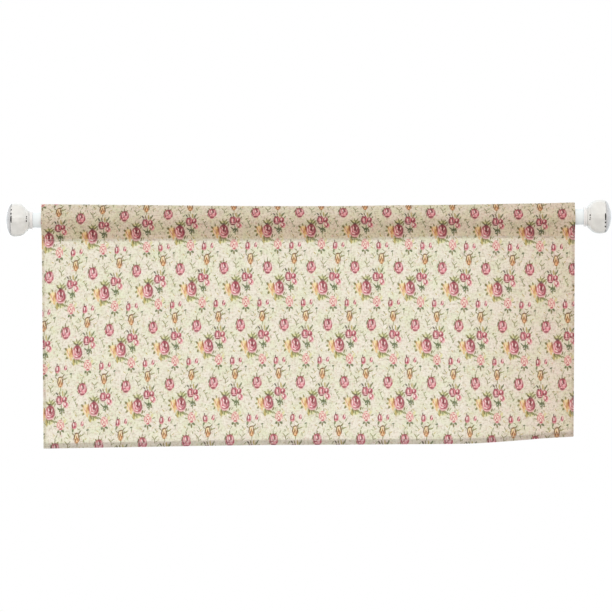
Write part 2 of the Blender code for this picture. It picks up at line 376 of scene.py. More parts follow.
def stitch_row(path, outward):
    """Stitches of thread along a path: points and faces of rounded, slightly sunk lengths."""
    steps = np.linalg.norm(np.diff(path, axis=0), axis=1)
    along = np.concatenate(([0.0], np.cumsum(steps)))
    count = int(along[-1] / STITCH_PITCH)
    starts = (np.arange(count) + 0.5) * STITCH_PITCH - STITCH_LENGTH / 2
    shares = np.array([0.0, 0.14, 0.5, 0.86, 1.0])
    widths = np.array([0.35, 1.0, 1.0, 1.0, 0.35]) * THREAD_RADIUS
    lifts = np.array([-0.6, 0.3, 0.5, 0.3, -0.6]) * THREAD_RADIUS
    at = starts[:, None] + shares * STITCH_LENGTH
    centre = np.stack([np.interp(at, along, path[:, k]) for k in range(3)], axis=-1)
    out = np.stack([np.interp(at, along, outward[:, k]) for k in range(3)], axis=-1)
    out /= np.linalg.norm(out, axis=-1, keepdims=True)
    forward = centre[:, -1:] - centre[:, :1]
    sideways = np.cross(forward, out)
    sideways /= np.linalg.norm(sideways, axis=-1, keepdims=True)
    centre = centre + out * lifts[:, None]
    sides = ((1, 0), (0, 1), (-1, 0), (0, -1))
    rings = [centre + (sideways * a + out * b) * widths[:, None] for a, b in sides]
    points = np.stack(rings, axis=2)
    corner = np.arange(count)[:, None] * len(shares) * 4
    faces = []
    for ring in range(len(shares) - 1):
        for k in range(4):
            m = (k + 1) % 4
            quad = (4 * ring + k, 4 * ring + 4 + k, 4 * ring + 4 + m, 4 * ring + m)
            faces.append(corner + np.array(quad))
    last = 4 * (len(shares) - 1)
    faces.append(corner + np.arange(4))
    faces.append(corner + last + np.arange(4)[::-1])
    return points.reshape(-1, 3), np.concatenate(faces)


def outward_of(path_yz):
    """The direction away from the fold's inside, along a folded line of (y, z)."""
    along = np.gradient(path_yz, axis=0)
    along /= np.linalg.norm(along, axis=1, keepdims=True)
    return np.stack([np.zeros(len(along)), along[:, 1], -along[:, 0]], axis=1)


def level_path(columns, rows, height_over_low):
    """Points at one height over the hem's fold, one from each of the cloth's columns."""
    path = []
    for column in columns:
        low = column[:, 2].min()
        stretch = column[rows]
        order = np.argsort(stretch[:, 2])
        z = low + height_over_low
        path.append([np.interp(z, stretch[order, 2], stretch[order, k]) for k in (0, 1)] + [z])
    return np.array(path)


def make_stitches(points, front_seam, material):
    """The seam under the pocket, the bottom hem and both side hems, inside and out."""
    surface = CLOTH_THICKNESS / 2
    side_columns = SIDE_ROWS + FOLD_STEPS
    flat = points[side_columns:-side_columns]
    rows = []
    ahead = np.array((0.0, -1.0, 0.0))

    def add_row(path, outward):
        outward = np.broadcast_to(outward, path.shape)
        rows.append(stitch_row(path + outward * surface, outward))

    add_row(flat[:, front_seam], ahead)
    add_row(flat[:, TURN_STEPS], -ahead)
    fold_end = points.shape[1] - HEM_ROWS - 1
    hem_line = BOTTOM_HEM_HEIGHT - HEM_STITCH_INSET
    add_row(level_path(flat, slice(front_seam, fold_end - FOLD_STEPS + 1), hem_line), ahead)
    add_row(level_path(flat, slice(fold_end, None), hem_line), -ahead)
    for side in (1, -1):
        columns = points[::side]
        share = SIDE_HEM_WIDTH - HEM_STITCH_INSET - CLOTH_THICKNESS / 2 - LAYER / 2
        share /= abs(columns[side_columns + 1, 0, 0] - columns[side_columns, 0, 0])
        line = columns[side_columns] * (1 - share) + columns[side_columns + 1] * share
        line = line[TURN_STEPS:fold_end - FOLD_STEPS]
        add_row(line, outward_of(line[:, 1:]))
        back = columns[0] * (1 - BACK_STITCH_SHARE) + columns[1] * BACK_STITCH_SHARE
        add_row(back[front_seam + 1:fold_end - FOLD_STEPS], -ahead)
    vertices, faces, first = [], [], 0
    for made_points, made_faces in rows:
        vertices.append(made_points)
        faces.append(made_faces + first)
        first += len(made_points)
    vertices, faces = np.concatenate(vertices).tolist(), np.concatenate(faces).tolist()
    mesh = smooth_mesh("stitching", vertices, faces)
    return add_piece(mesh, [material])


def make_cloth(materials, thread):
    points, maps, front_seam = folded_cloth()
    mesh = grid_mesh("printed_cloth", points, maps)
    piece = add_piece(mesh, materials, ["valance_cloth"])
    shell = piece.modifiers.new("thickness", "SOLIDIFY")
    shell.thickness = CLOTH_THICKNESS
    shell.offset = 0
    shell.material_offset = 1
    shell.material_offset_rim = 1
    stitching = make_stitches(points, front_seam, thread)


# Materials


class Shader:
    """Adds nodes to a material, or to the tree of a group or world, and wires them."""

    def __init__(self, name, tree=None):
        self.material = None
        if tree is None:
            self.material = bpy.data.materials.new(name)
            self.material.use_nodes = True
            tree = self.material.node_tree
            tree.nodes.clear()
        self.tree = tree

    def add(self, kind, inputs, output=0, **settings):
        node = self.tree.nodes.new(kind)
        for setting, value in settings.items():
            setattr(node, setting, value)
        for socket, value in inputs.items():
            if isinstance(value, bpy.types.NodeSocket):
                self.tree.links.new(value, node.inputs[socket])
            else:
                node.inputs[socket].default_value = value
        return node.outputs[output]

    def math(self, operation, *values):
        return self.add("ShaderNodeMath", dict(enumerate(values)), operation=operation)

    def vector(self, operation, *values, output=0):
        return self.add("ShaderNodeVectorMath", dict(enumerate(values)), output, operation=operation)

    def mix(self, share, below, above, blend="MIX"):
        colours = {0: share, 6: below, 7: above}
        return self.add("ShaderNodeMix", colours, 2, data_type="RGBA", blend_type=blend)

    def noise(self, place, scale, detail=2.0, output=0):
        settings = {"Vector": place, "Scale": scale, "Detail": detail}
        return self.add("ShaderNodeTexNoise", settings, output)

    def span(self, value, low, high, to_low=0.0, to_high=1.0):
        settings = {0: value, 1: low, 2: high, 3: to_low, 4: to_high}
        return self.add("ShaderNodeMapRange", settings)

    def finish(self, surface, kind="Material"):
        output = self.tree.nodes.new("ShaderNodeOutput" + kind)
        self.tree.links.new(surface, output.inputs["Surface"])
        return self.material


def paint(red, green, blue):
    """A colour given as on a screen, 0 to 255, in linear light."""
    shades = []
    for value in (red, green, blue):
        share = value / 255
        shades.append(share / 12.92 if share <= 0.04045 else ((share + 0.055) / 1.055) ** 2.4)
    return (*shades, 1.0)


# The print's paints, as on a screen
PAINTS = {
    "core": (136, 40, 58),
    "deep": (178, 60, 90),
    "rose": (206, 100, 126),
    "pink": (238, 168, 182),
    "light": (250, 214, 222),
    "blush": (255, 240, 241),
    "petal": (251, 236, 228),
    "coral": (226, 152, 158),
    "brick": (205, 96, 118),
    "cream": (250, 236, 192),
    "gold": (238, 210, 156),
    "amber": (220, 168, 114),
    "ochre": (182, 116, 60),
    "brown": (128, 86, 50),
    "peach": (242, 204, 156),
    "glow": (234, 233, 190),
    "straw": (200, 186, 112),
    "olive": (138, 134, 76),
    "moss": (158, 158, 98),
    "leaf": (112, 128, 78),
    "pine": (98, 116, 80),
    "sage": (156, 162, 112),
    "dusk": (108, 84, 76),
    "bark": (96, 92, 74),
}

# The print's strokes in mm from the middle of its big rose, in the order they are painted.
# Wide and high are half sizes, and lean turns a stroke's top to the left, in degrees.
Dab = namedtuple("Dab", "x y wide high colour lean", defaults=[0])
ROSE_DABS = [Dab(*row) for row in (
    # leaves round the big rose
    (2.4, 15.6, 6.2, 4.8, "glow"),
    (-2.8, 14.4, 1.6, 4.0, "olive", 48),
    (6.8, 14.2, 1.8, 4.6, "moss", -50),
    (2.8, 16.4, 1.5, 3.8, "sage", -14),
    (-5.6, 18.6, 1.1, 2.6, "moss", 60),
    (0.4, 20.4, 0.9, 3.6, "moss", 10),
    (6.4, 20.4, 0.9, 2.8, "olive", -34),
    (9.8, 17.2, 1.0, 2.4, "sage", -76),
    (0.8, 12.8, 2.8, 1.5, "dusk"),
    (-1.0, -19.5, 8.2, 6.0, "glow"),
    (-6.0, -21.0, 1.9, 6.8, "straw", 4),
    (-4.2, -17.4, 1.5, 4.8, "olive", 14),
    (0.0, -20.4, 1.3, 4.6, "sage", 4),
    (4.4, -18.6, 4.6, 2.0, "moss", -28),
    (1.0, -16.2, 3.6, 1.6, "olive", 4),
    (7.4, -20.0, 1.4, 4.2, "sage", 40),
    (10.4, -13.6, 1.3, 3.6, "olive", -20),
    (10.2, 11.0, 1.2, 3.4, "moss", -16),
    # yellow rose
    (-20.2, 4.8, 2.1, 3.8, "olive", 42),
    (-14.8, 9.8, 1.4, 3.2, "moss", 14),
    (-20.8, -3.2, 2.0, 3.4, "moss", 104),
    (-18.4, -10.6, 1.9, 3.6, "olive", 142),
    (-11.4, -13.6, 1.8, 3.8, "gold", 12),
    (-13.4, -2.4, 6.2, 9.6, "cream", 4),
    (-11.0, -2.8, 3.4, 8.4, "gold"),
    (-15.8, -3.6, 1.6, 6.2, "petal", 10),
    (-17.6, 1.2, 0.8, 4.8, "amber", 14),
    (-13.8, -6.6, 0.7, 4.2, "amber", 24),
    (-11.4, -3.0, 0.9, 5.6, "amber", -12),
    (-9.0, 1.0, 1.3, 7.6, "ochre", 5),
    (-12.8, 4.2, 1.4, 3.0, "cream", 20),
    (-8.8, -8.8, 1.2, 3.8, "gold", 20),
    # big rose
    (1.3, -5.0, 8.8, 10.8, "pink"),
    (1.2, 1.2, 7.9, 9.7, "deep"),
    (1.4, -14.4, 5.4, 1.2, "light"),
    (2.0, -3.4, 8.3, 9.4, "core"),
    (0.4, -2.4, 7.8, 9.6, "rose", 4),
    (-5.5, -2.8, 1.5, 7.4, "pink", 2),
    (-5.2, -2.4, 1.0, 5.2, "blush", 6),
    (3.4, -5.2, 4.6, 6.0, "deep", 24),
    (2.2, -4.0, 4.6, 5.6, "pink", 20),
    (-1.2, -9.6, 3.6, 1.2, "blush", -20),
    (2.0, -1.6, 3.8, 5.8, "core", 10),
    (0.6, -1.2, 3.5, 5.8, "light", 12),
    (1.7, 0.6, 3.0, 5.6, "deep", 6),
    (1.4, 2.4, 1.2, 5.4, "core", 4),
    (4.6, 1.8, 1.1, 3.2, "blush", -10),
    (-1.6, 3.6, 1.0, 3.0, "blush", 18),
    (1.2, 10.2, 3.6, 1.2, "core"),
    # pink cluster
    (14.4, 32.0, 1.3, 3.4, "bark", 32),
    (19.4, 32.4, 1.1, 3.6, "olive", 10),
    (25.2, 31.4, 1.3, 5.2, "straw", 4),
    (31.4, 31.8, 1.2, 5.2, "leaf", -26),
    (28.6, 28.6, 1.1, 4.0, "moss", -8),
    (35.0, 26.0, 1.0, 3.6, "sage", -40),
    (16.2, 26.4, 1.8, 1.6, "dusk"),
    (21.0, 27.2, 1.2, 1.8, "dusk"),
    (19.0, 18.8, 6.3, 8.0, "deep"),
    (19.8, 19.5, 5.5, 7.0, "rose"),
    (15.0, 18.4, 1.3, 5.4, "core", 4),
    (18.7, 19.0, 3.6, 5.6, "core", 6),
    (18.1, 19.4, 2.9, 4.8, "pink", 6),
    (18.5, 19.8, 1.2, 3.4, "blush", 4),
    (20.6, 20.6, 0.8, 3.2, "core", -10),
    (22.7, 20.0, 0.9, 4.0, "pink", -4),
    (19.0, 13.8, 3.8, 0.9, "light"),
    (19.2, 11.7, 4.0, 1.0, "core"),
    (28.8, 20.0, 4.3, 5.4, "rose"),
    (31.7, 20.2, 1.0, 3.8, "deep", -6),
    (28.0, 21.4, 1.3, 2.6, "blush", -14),
    (29.8, 18.0, 0.8, 2.2, "core", 30),
    (26.2, 17.4, 1.1, 2.4, "core", 10),
    (31.0, 9.0, 4.6, 5.8, "pink", 6),
    (29.6, 10.4, 1.7, 3.2, "blush", 10),
    (32.4, 9.6, 1.0, 3.2, "deep", -14),
    (29.4, 6.2, 1.1, 2.0, "deep", 30),
    (33.4, 5.4, 1.7, 1.5, "light"),
    (31.2, 13.6, 1.8, 0.9, "deep", -10),
    (22.8, 4.6, 0.9, 5.6, "sage", 4),
    (17.2, 2.6, 1.2, 4.4, "leaf", 44),
    (27.0, 3.4, 1.0, 3.4, "moss", -46),
    (20.4, -0.4, 1.6, 3.6, "leaf", -24),
    (23.4, -1.0, 1.4, 4.8, "pine", 4),
    (26.6, -0.8, 1.5, 3.4, "leaf", 26),
    (21.6, -5.6, 2.6, 1.3, "pine", 14),
    (27.4, -5.2, 1.9, 1.2, "olive", -24),
    (23.0, -7.4, 1.0, 3.6, "sage"),
    # single rose
    (-20.9, 51.0, 0.8, 4.4, "olive"),
    (-25.2, 46.2, 1.4, 3.8, "olive", 28),
    (-16.6, 46.8, 1.3, 3.6, "moss", -32),
    (-28.8, 41.0, 1.2, 4.4, "leaf", -14),
    (-28.4, 31.0, 0.9, 3.4, "olive", 10),
    (-27.0, 33.4, 1.7, 4.0, "pink", 12),
    (-13.6, 33.2, 1.5, 3.8, "rose", -14),
    (-20.2, 37.6, 7.5, 9.9, "deep"),
    (-20.6, 32.6, 6.0, 8.0, "rose"),
    (-21.3, 37.2, 6.8, 9.2, "rose", 6),
    (-25.8, 36.4, 1.3, 6.6, "core", 8),
    (-24.4, 36.8, 1.4, 6.6, "light", 8),
    (-16.8, 37.0, 2.4, 7.2, "pink", -6),
    (-15.2, 38.4, 0.8, 5.0, "light", -6),
    (-20.2, 38.6, 3.7, 5.8, "core", 6),
    (-20.9, 38.8, 3.0, 5.4, "pink", 8),
    (-20.2, 40.0, 1.9, 4.6, "core"),
    (-21.2, 40.4, 1.1, 3.6, "blush", 10),
    (-18.2, 34.6, 1.4, 2.4, "light", -30),
    (-22.8, 32.2, 2.2, 1.2, "deep", -30),
    (-20.2, 30.2, 4.4, 2.4, "pink"),
    (-20.6, 27.2, 3.8, 1.0, "core"),
    (-23.2, 30.6, 1.4, 0.8, "blush", 30),
    (-17.4, 30.8, 1.4, 0.8, "light", -30),
    (-20.3, 46.9, 2.6, 1.0, "core"),
    # sprigs
    (2.5, 40.0, 0.7, 5.0, "olive", 6),
    (-0.4, 46.0, 0.8, 4.2, "moss", 34),
    (5.6, 45.8, 0.8, 3.8, "sage", -44),
    (5.8, 38.4, 0.7, 2.8, "sage", -60),
    (-34.0, 12.6, 0.6, 9.4, "sage", 24),
    (-38.2, 22.4, 2.6, 1.0, "moss", 20),
    (-31.0, 6.4, 0.9, 3.2, "sage", -28),
    (-33.6, 17.4, 0.9, 2.8, "sage", -50),
    (9.0, 31.0, 0.8, 3.4, "sage", -40),
    (-33.0, -12.4, 0.7, 3.0, "straw", 40),
    (-36.6, -5.0, 0.8, 2.6, "sage", -20),
    (14.6, -13.0, 0.7, 3.2, "sage", -30),
    (27.0, -15.0, 0.7, 2.8, "straw", 50),
    (37.2, 14.0, 0.7, 3.0, "sage", 20),
)]
BUD_DABS = [Dab(*row) for row in (
    # orange bud
    (21.4, 41.2, 0.7, 5.2, "moss", -5),
    (26.2, 64.0, 1.1, 4.6, "olive", -40),
    (30.4, 58.4, 1.1, 4.8, "moss", -66),
    (27.0, 58.0, 0.8, 3.6, "sage", -20),
    (13.6, 61.4, 0.9, 3.2, "olive", 44),
    (20.8, 53.4, 5.2, 9.8, "amber"),
    (20.6, 56.2, 4.0, 6.8, "cream"),
    (20.2, 47.6, 3.4, 3.8, "peach"),
    (16.4, 56.4, 1.0, 6.4, "brown", -12),
    (24.9, 55.0, 1.1, 7.0, "brown", 8),
    (20.8, 62.4, 3.6, 1.2, "brown", 10),
    (20.0, 54.4, 0.9, 5.2, "ochre", -14),
    (22.6, 50.4, 1.0, 4.6, "ochre", 16),
    (18.2, 49.4, 0.8, 4.0, "brown", -10),
    (21.8, 58.0, 0.8, 3.2, "petal", 6),
    (20.8, 44.6, 2.0, 1.2, "ochre"),
    # pale rose
    (-18.0, 87.4, 1.1, 4.6, "moss", 50),
    (-20.0, 80.0, 1.0, 3.6, "sage", 70),
    (-2.4, 88.4, 1.5, 4.0, "moss", -40),
    (0.8, 83.2, 1.0, 3.2, "sage", -64),
    (-7.6, 91.6, 0.9, 3.4, "sage"),
    (-14.6, 68.6, 1.9, 2.8, "leaf", -36),
    (-10.6, 65.6, 1.5, 4.0, "olive", 4),
    (-5.6, 68.8, 1.8, 2.8, "leaf", 36),
    (-1.8, 87.6, 2.0, 4.6, "glow", -24),
    (-10.0, 81.2, 6.8, 9.8, "petal"),
    (-10.4, 90.0, 3.6, 0.9, "coral", 6),
    (-15.9, 81.6, 0.9, 5.6, "coral", -4),
    (-4.4, 81.2, 0.9, 5.8, "coral", 4),
    (-10.0, 72.2, 3.8, 0.9, "coral"),
    (-13.0, 84.8, 0.9, 3.4, "coral", 26),
    (-9.4, 86.8, 2.4, 0.9, "brick", -12),
    (-6.8, 82.2, 0.9, 3.0, "coral", -6),
    (-10.8, 80.8, 1.6, 1.2, "brick", 20),
    (-13.2, 77.4, 1.0, 2.2, "brick", -20),
    (-8.2, 77.2, 1.0, 2.6, "coral", 24),
    (-9.8, 73.8, 2.6, 1.2, "brick"),
    (-8.0, 69.6, 1.0, 1.6, "pine"),
    # magenta bud
    (14.8, 86.2, 0.9, 3.2, "dusk"),
    (17.8, 84.0, 0.8, 2.8, "sage", -34),
    (13.4, 69.0, 1.8, 4.0, "sage", -14),
    (12.4, 67.6, 0.8, 3.0, "pine", -16),
    (16.0, 78.0, 4.5, 6.8, "rose"),
    (12.9, 77.4, 1.0, 5.6, "core", -5),
    (15.2, 79.4, 1.3, 4.0, "blush"),
    (17.6, 76.6, 1.3, 3.8, "deep", -10),
    (19.0, 79.0, 0.9, 3.6, "pink", 4),
    (15.6, 72.6, 3.0, 1.0, "pink"),
    (16.0, 83.6, 2.2, 1.0, "core"),
    # small buds and sprigs
    (30.8, 79.8, 2.7, 4.8, "pink", -10),
    (29.4, 80.4, 0.9, 3.6, "core", -14),
    (31.6, 81.0, 0.9, 2.4, "blush", -20),
    (32.6, 77.4, 0.9, 2.4, "deep", -10),
    (34.8, 73.6, 0.8, 3.2, "sage", -20),
    (41.1, 67.4, 2.4, 1.4, "pine", 18),
    (41.6, 62.2, 0.7, 4.2, "sage", -6),
    (4.6, 60.4, 0.8, 3.8, "sage", 30),
    (7.4, 56.6, 0.7, 3.0, "straw", -40),
    (1.6, 55.0, 0.7, 2.8, "sage", 64),
    (33.6, 46.8, 0.8, 4.0, "sage", 14),
    (36.8, 50.6, 0.7, 3.0, "straw", -50),
    (-18.6, 59.4, 0.7, 3.6, "sage", -24),
    (-22.8, 63.4, 0.7, 2.8, "straw", 50),
    (3.0, 74.4, 0.8, 3.2, "straw", 44),
    (24.0, 70.0, 0.8, 3.2, "sage", 60),
    (-8.0, 52.0, 0.7, 3.2, "sage", -10),
    (43.8, 86.0, 0.7, 3.0, "sage", 30),
)]
# Each group is painted in one repeat round a middle. Both step to the right above a height,
# given as a number of repeats over that middle.
Window = namedtuple("Window", "x y step_above")
ROSE_WINDOW = Window(-2.0, 16.0, 1.5)
BUD_WINDOW = Window(12.0, 68.0, 0.5)
PRINT_STEP = 9.2  # in mm
REPEAT = (83.1, 109.3)  # of the print, across and up
ROW_SHIFT = 30.8  # to the right, of each row from the one above it
ROSE_PLACE = (-26.6, -238.6)  # of one big rose, from the middle of the rod
HAND_WARPS = ((0.09, 1.0), (0.45, 0.8))  # scale of the unevenness, and how far it draws, in mm
BRUSH_EDGE = 0.34  # of a stroke's half size, over which its colour fades out
MM = 1000.0

# Tiny scattered touches that fill the print's bare ground. Each kind reads its noise at a shift
# of its own and comes up between low and high.
Speck = namedtuple("Speck", "shift scale low high share colour")
SPECKS = (
    Speck((31.0, 52.7, 0.0), 0.20, 0.58, 0.72, 0.40, "sage"),
    Speck((83.0, 141.1, 0.0), 0.17, 0.60, 0.72, 0.34, "straw"),
    Speck((147.0, 249.9, 0.0), 0.22, 0.62, 0.74, 0.35, "coral"),
)

# The cloth's own colours
GROUND = paint(246, 243, 236)
GROUND_PATCH = paint(238, 242, 222)
GROUND_SHADE = paint(212, 203, 190)
GROUND_LIGHT = paint(253, 251, 246)
# Painted light and shade multiplied over the print: in the pocket, towards the right edge and in the hem
POCKET_PAINTED_LIGHT_TINT = (1.075, 1.020, 0.985, 1)
EDGE_PAINTED_SHADE_TINT = (0.982, 0.930, 0.917, 1)
HEM_PAINTED_SHADE_TINT = (0.92, 0.915, 0.93, 1)
CLOTH_THROUGH = 0.50  # share of the light that a face lets through rather than turns back
THREAD_HEIGHT = 0.00006
WEAR = 0.30  # how much more of the ground shows on the threads' crowns
THREAD_SCALE = 1.1  # of the noise across the threads
SLUB_SCALE = 0.10  # of the same noise along them
MOTTLE_SCALE = 0.24
PATCH_SCALE = 0.040

# Where painted shade and light lie: heights above the stitching and, for the hem, above the lowest
# fold in metres, and a stretch across the print in mm. Painted shade is how far the print darkens there.
POCKET_BOTTOM = (0.0, 0.0015)
POCKET_TOP = (0.095, 0.025)
HEM_TOP = (0.0097, 0.0091)
EDGE_STRETCH = (270.0, 500.0)
EDGE_IN_POCKET = 0.35
POCKET_PAINTED_SHADE = 0.40
EDGE_PAINTED_SHADE = 0.15


def stroke(shader, local, window, dab, colour):
    """One stroke of paint over a colour. Its own two axes are read as dot products."""
    c, s = math.cos(math.radians(dab.lean)), math.sin(math.radians(dab.lean))
    dx, dy = dab.x - window.x, dab.y - window.y
    wide_row = (c / dab.wide, s / dab.wide, -(c * dx + s * dy) / dab.wide)
    high_row = (-s / dab.high, c / dab.high, (s * dx - c * dy) / dab.high)
    along = shader.vector("DOT_PRODUCT", local, wide_row, output=1)
    up = shader.vector("DOT_PRODUCT", local, high_row, output=1)
    reach = shader.math("MULTIPLY_ADD", along, along, shader.math("MULTIPLY", up, up))
    share = shader.span(reach, (1 + BRUSH_EDGE / 2) ** 2, (1 - BRUSH_EDGE / 2) ** 2)
    return shader.mix(share, colour, paint(*PAINTS[dab.colour]))


def stroke_group(name, window, dabs):
    """A group that paints one set of strokes at every repeat, over a ground."""
    tree = bpy.data.node_groups.new(name, "ShaderNodeTree")
    sockets = (("Place", "INPUT", "Vector"), ("Ground", "INPUT", "Color"), ("Colour", "OUTPUT", "Color"))
    for word, way, kind in sockets:
        tree.interface.new_socket(word, in_out=way, socket_type="NodeSocket" + kind)
    shader = Shader(name, tree)
    given = tree.nodes.new("NodeGroupInput")
    lean = ROW_SHIFT / REPEAT[1]
    middle = (ROSE_PLACE[0] + window.x, ROSE_PLACE[1] + window.y, 0.0)
    place = shader.vector("SUBTRACT", given.outputs["Place"], middle)
    parts = shader.add("ShaderNodeSeparateXYZ", {0: place})
    across, up = parts, parts.node.outputs[1]
    stepped = shader.math("GREATER_THAN", up, window.step_above * REPEAT[1])
    across = shader.math("MULTIPLY_ADD", stepped, -PRINT_STEP, across)
    upright = shader.math("MULTIPLY_ADD", up, lean, across)
    up = shader.math("WRAP", up, REPEAT[1] / 2, -REPEAT[1] / 2)
    upright = shader.math("WRAP", upright, REPEAT[0] / 2, -REPEAT[0] / 2)
    across = shader.math("MULTIPLY_ADD", up, -lean, upright)
    local = shader.add("ShaderNodeCombineXYZ", {0: across, 1: up, 2: 1.0})
    colour = given.outputs["Ground"]
    for dab in dabs:
        colour = stroke(shader, local, window, dab, colour)
    taken = tree.nodes.new("NodeGroupOutput")
    tree.links.new(colour, taken.inputs["Colour"])
    return tree


def painted_print(shader, place, ground, groups):
    """The flower print's colour over the ground's, by its own place in mm."""
    drawn = place
    for scale, reach in HAND_WARPS:
        uneven = shader.vector("SUBTRACT", shader.noise(place, scale, 1.0, 1), (0.5, 0.5, 0.5))
        drawn = shader.vector("MULTIPLY_ADD", uneven, (2 * reach,) * 3, drawn)
    colour = ground
    for group in groups:
        painted = shader.tree.nodes.new("ShaderNodeGroup")
        painted.node_tree = group
        shader.tree.links.new(drawn, painted.inputs["Place"])
        shader.tree.links.new(colour, painted.inputs["Ground"])
        colour = painted.outputs["Colour"]
    return colour


def specked(shader, place, colour):
    for kind in SPECKS:
        spots = shader.noise(shader.vector("ADD", place, kind.shift), kind.scale, 1.5)
        share = shader.span(spots, kind.low, kind.high, 0.0, kind.share)
        colour = shader.mix(share, colour, paint(*PAINTS[kind.colour]))
    return colour


def linen(shader, place):
    """The cream ground with its slubs, mottling and faint yellow-green patches, and the
    threads' height for the bump."""
    along = shader.vector("MULTIPLY", place, (SLUB_SCALE, THREAD_SCALE, 1.0))
    upright = shader.vector("MULTIPLY", place, (THREAD_SCALE, SLUB_SCALE, 1.0))
    weft = shader.noise(along, 1.0, 3.0)
    warp = shader.noise(upright, 1.0, 3.0)
    threads = shader.math("ADD", weft, warp)
    mottle = shader.noise(place, MOTTLE_SCALE, 4.0)
    patch = shader.noise(place, PATCH_SCALE, 3.0)
    marks = (
        (patch, 0.42, 0.66, 0.8, GROUND_PATCH),
        (mottle, 0.52, 0.72, 1.0, GROUND_SHADE),
        (threads, 1.02, 1.30, 0.7, GROUND_SHADE),
        (threads, 0.96, 0.76, 0.8, GROUND_LIGHT),
    )
    ground = GROUND
    for value, low, high, share, tint in marks:
        ground = shader.mix(shader.span(value, low, high, 0.0, share), ground, tint)
    return ground, threads


def shaded_cloth(shader, place, colour):
    """Painted shade and light: the print is darkened where the cloth is doubled round the rod and,
    less so, towards its right edge. Both get painted tints of their own, and the thick hem a greyer
    painted shade."""
    levels = shader.add("ShaderNodeUVMap", {}, uv_map="levels")
    over_seam = shader.add("ShaderNodeSeparateXYZ", {0: levels})
    over_fold = over_seam.node.outputs[1]
    pocket_bottom = shader.span(over_seam, *POCKET_BOTTOM)
    doubled = shader.math("MULTIPLY", pocket_bottom, shader.span(over_seam, *POCKET_TOP))
    edge = shader.span(shader.add("ShaderNodeSeparateXYZ", {0: place}), *EDGE_STRETCH)
    edge = shader.math("MULTIPLY", edge, shader.span(doubled, 0.0, 1.0, 1.0, EDGE_IN_POCKET))
    turned = shader.span(over_fold, *HEM_TOP)
    # Painted shade: the print multiplied with itself in the doubled pocket and towards the right edge
    edge_painted_shade = shader.math("MULTIPLY", edge, EDGE_PAINTED_SHADE)
    painted_shade = shader.math("MULTIPLY_ADD", doubled, POCKET_PAINTED_SHADE, edge_painted_shade)
    painted_shades_and_tints = ((painted_shade, colour), (doubled, POCKET_PAINTED_LIGHT_TINT), (edge, EDGE_PAINTED_SHADE_TINT), (turned, HEM_PAINTED_SHADE_TINT))
    for share, tint in painted_shades_and_tints:
        colour = shader.mix(share, colour, tint, "MULTIPLY")
    return colour


def cloth_material(name, paleness, groups):
    """Cloth whose print is mixed back towards its ground by the paleness."""
    shader = Shader(name)
    place = shader.vector("SCALE", shader.add("ShaderNodeUVMap", {}, uv_map="print"))
    place.node.inputs["Scale"].default_value = MM
    ground, threads = linen(shader, place)
    colour = specked(shader, place, ground)
    colour = painted_print(shader, place, colour, groups)
    worn = shader.span(threads, 0.84, 1.20, paleness, min(paleness + WEAR, 1.0))
    colour = shader.mix(worn, colour, ground)
    # Painted shade and light over the print
    colour = shaded_cloth(shader, place, colour)
    bump = {"Height": threads, "Distance": THREAD_HEIGHT, "Strength": 1.0}
    raised = shader.add("ShaderNodeBump", bump)
    base = {"Base Color": colour, "Roughness": 0.9, "Normal": raised, "Sheen Weight": 0.08}
    turned_back = shader.add("ShaderNodeBsdfPrincipled", base)
    through = shader.add("ShaderNodeBsdfTranslucent", {"Color": colour, "Normal": raised})
    surface = shader.add("ShaderNodeMixShader", {0: CLOTH_THROUGH, 1: turned_back, 2: through})
    return shader.finish(surface)


def thread_material():
    shader = Shader("cream_thread")
    place = shader.add("ShaderNodeTexCoord", {}, "Object")
    wave = {"Vector": place, "Scale": 900.0, "Distortion": 0.6}
    twist = shader.add("ShaderNodeTexWave", wave, bands_direction="DIAGONAL")
    tone = shader.mix(twist, paint(214, 206, 188), paint(246, 241, 228))
    raised = shader.add("ShaderNodeBump", {"Height": twist, "Distance": 0.00005})
    base = {"Base Color": tone, "Roughness": 0.6, "Normal": raised, "Sheen Weight": 0.2}
    return shader.finish(shader.add("ShaderNodeBsdfPrincipled", base))


def metal_material():
    """Satin white paint, with the faint unevenness and specks of a painted tube."""
    shader = Shader("white_rod")
    place = shader.add("ShaderNodeTexCoord", {}, "Object")
    cloud = shader.noise(place, 60.0, 3.0)
    fine = shader.noise(place, 1400.0, 2.0)
    tone = shader.mix(cloud, paint(228, 238, 245), paint(240, 248, 253))
    raised = shader.add("ShaderNodeBump", {"Height": fine, "Distance": 0.00002, "Strength": 0.6})
    base = {
        "Base Color": tone,
        "Roughness": shader.span(cloud, 0.3, 0.7, 0.26, 0.36),
        "Normal": raised,
        "Coat Weight": 0.15,
    }
    return shader.finish(shader.add("ShaderNodeBsdfPrincipled", base))


def knob_material(name, dark, pale, clearness, coat=0.5, bending=1.49):
    """Polished cast resin, clouded inside, with fine scratches in its gloss."""
    shader = Shader(name)
    place = shader.add("ShaderNodeTexCoord", {}, "Object")
    cloud = shader.noise(place, 70.0, 3.0)
    stretched = shader.vector("MULTIPLY", place, (900.0, 120.0, 120.0))
    scratch = shader.noise(stretched, 1.0, 2.0)
    tone = shader.mix(shader.span(cloud, 0.35, 0.65), dark, pale)
    base = {
        "Base Color": tone,
        "Roughness": shader.span(scratch, 0.35, 0.75, 0.06, 0.16),
        "Coat Weight": coat,
        "Coat Roughness": 0.04,
        "Transmission Weight": clearness,
        "IOR": bending,
    }
    return shader.finish(shader.add("ShaderNodeBsdfPrincipled", base))


# Knobs
Ring = namedtuple("Ring", "depth radius round")
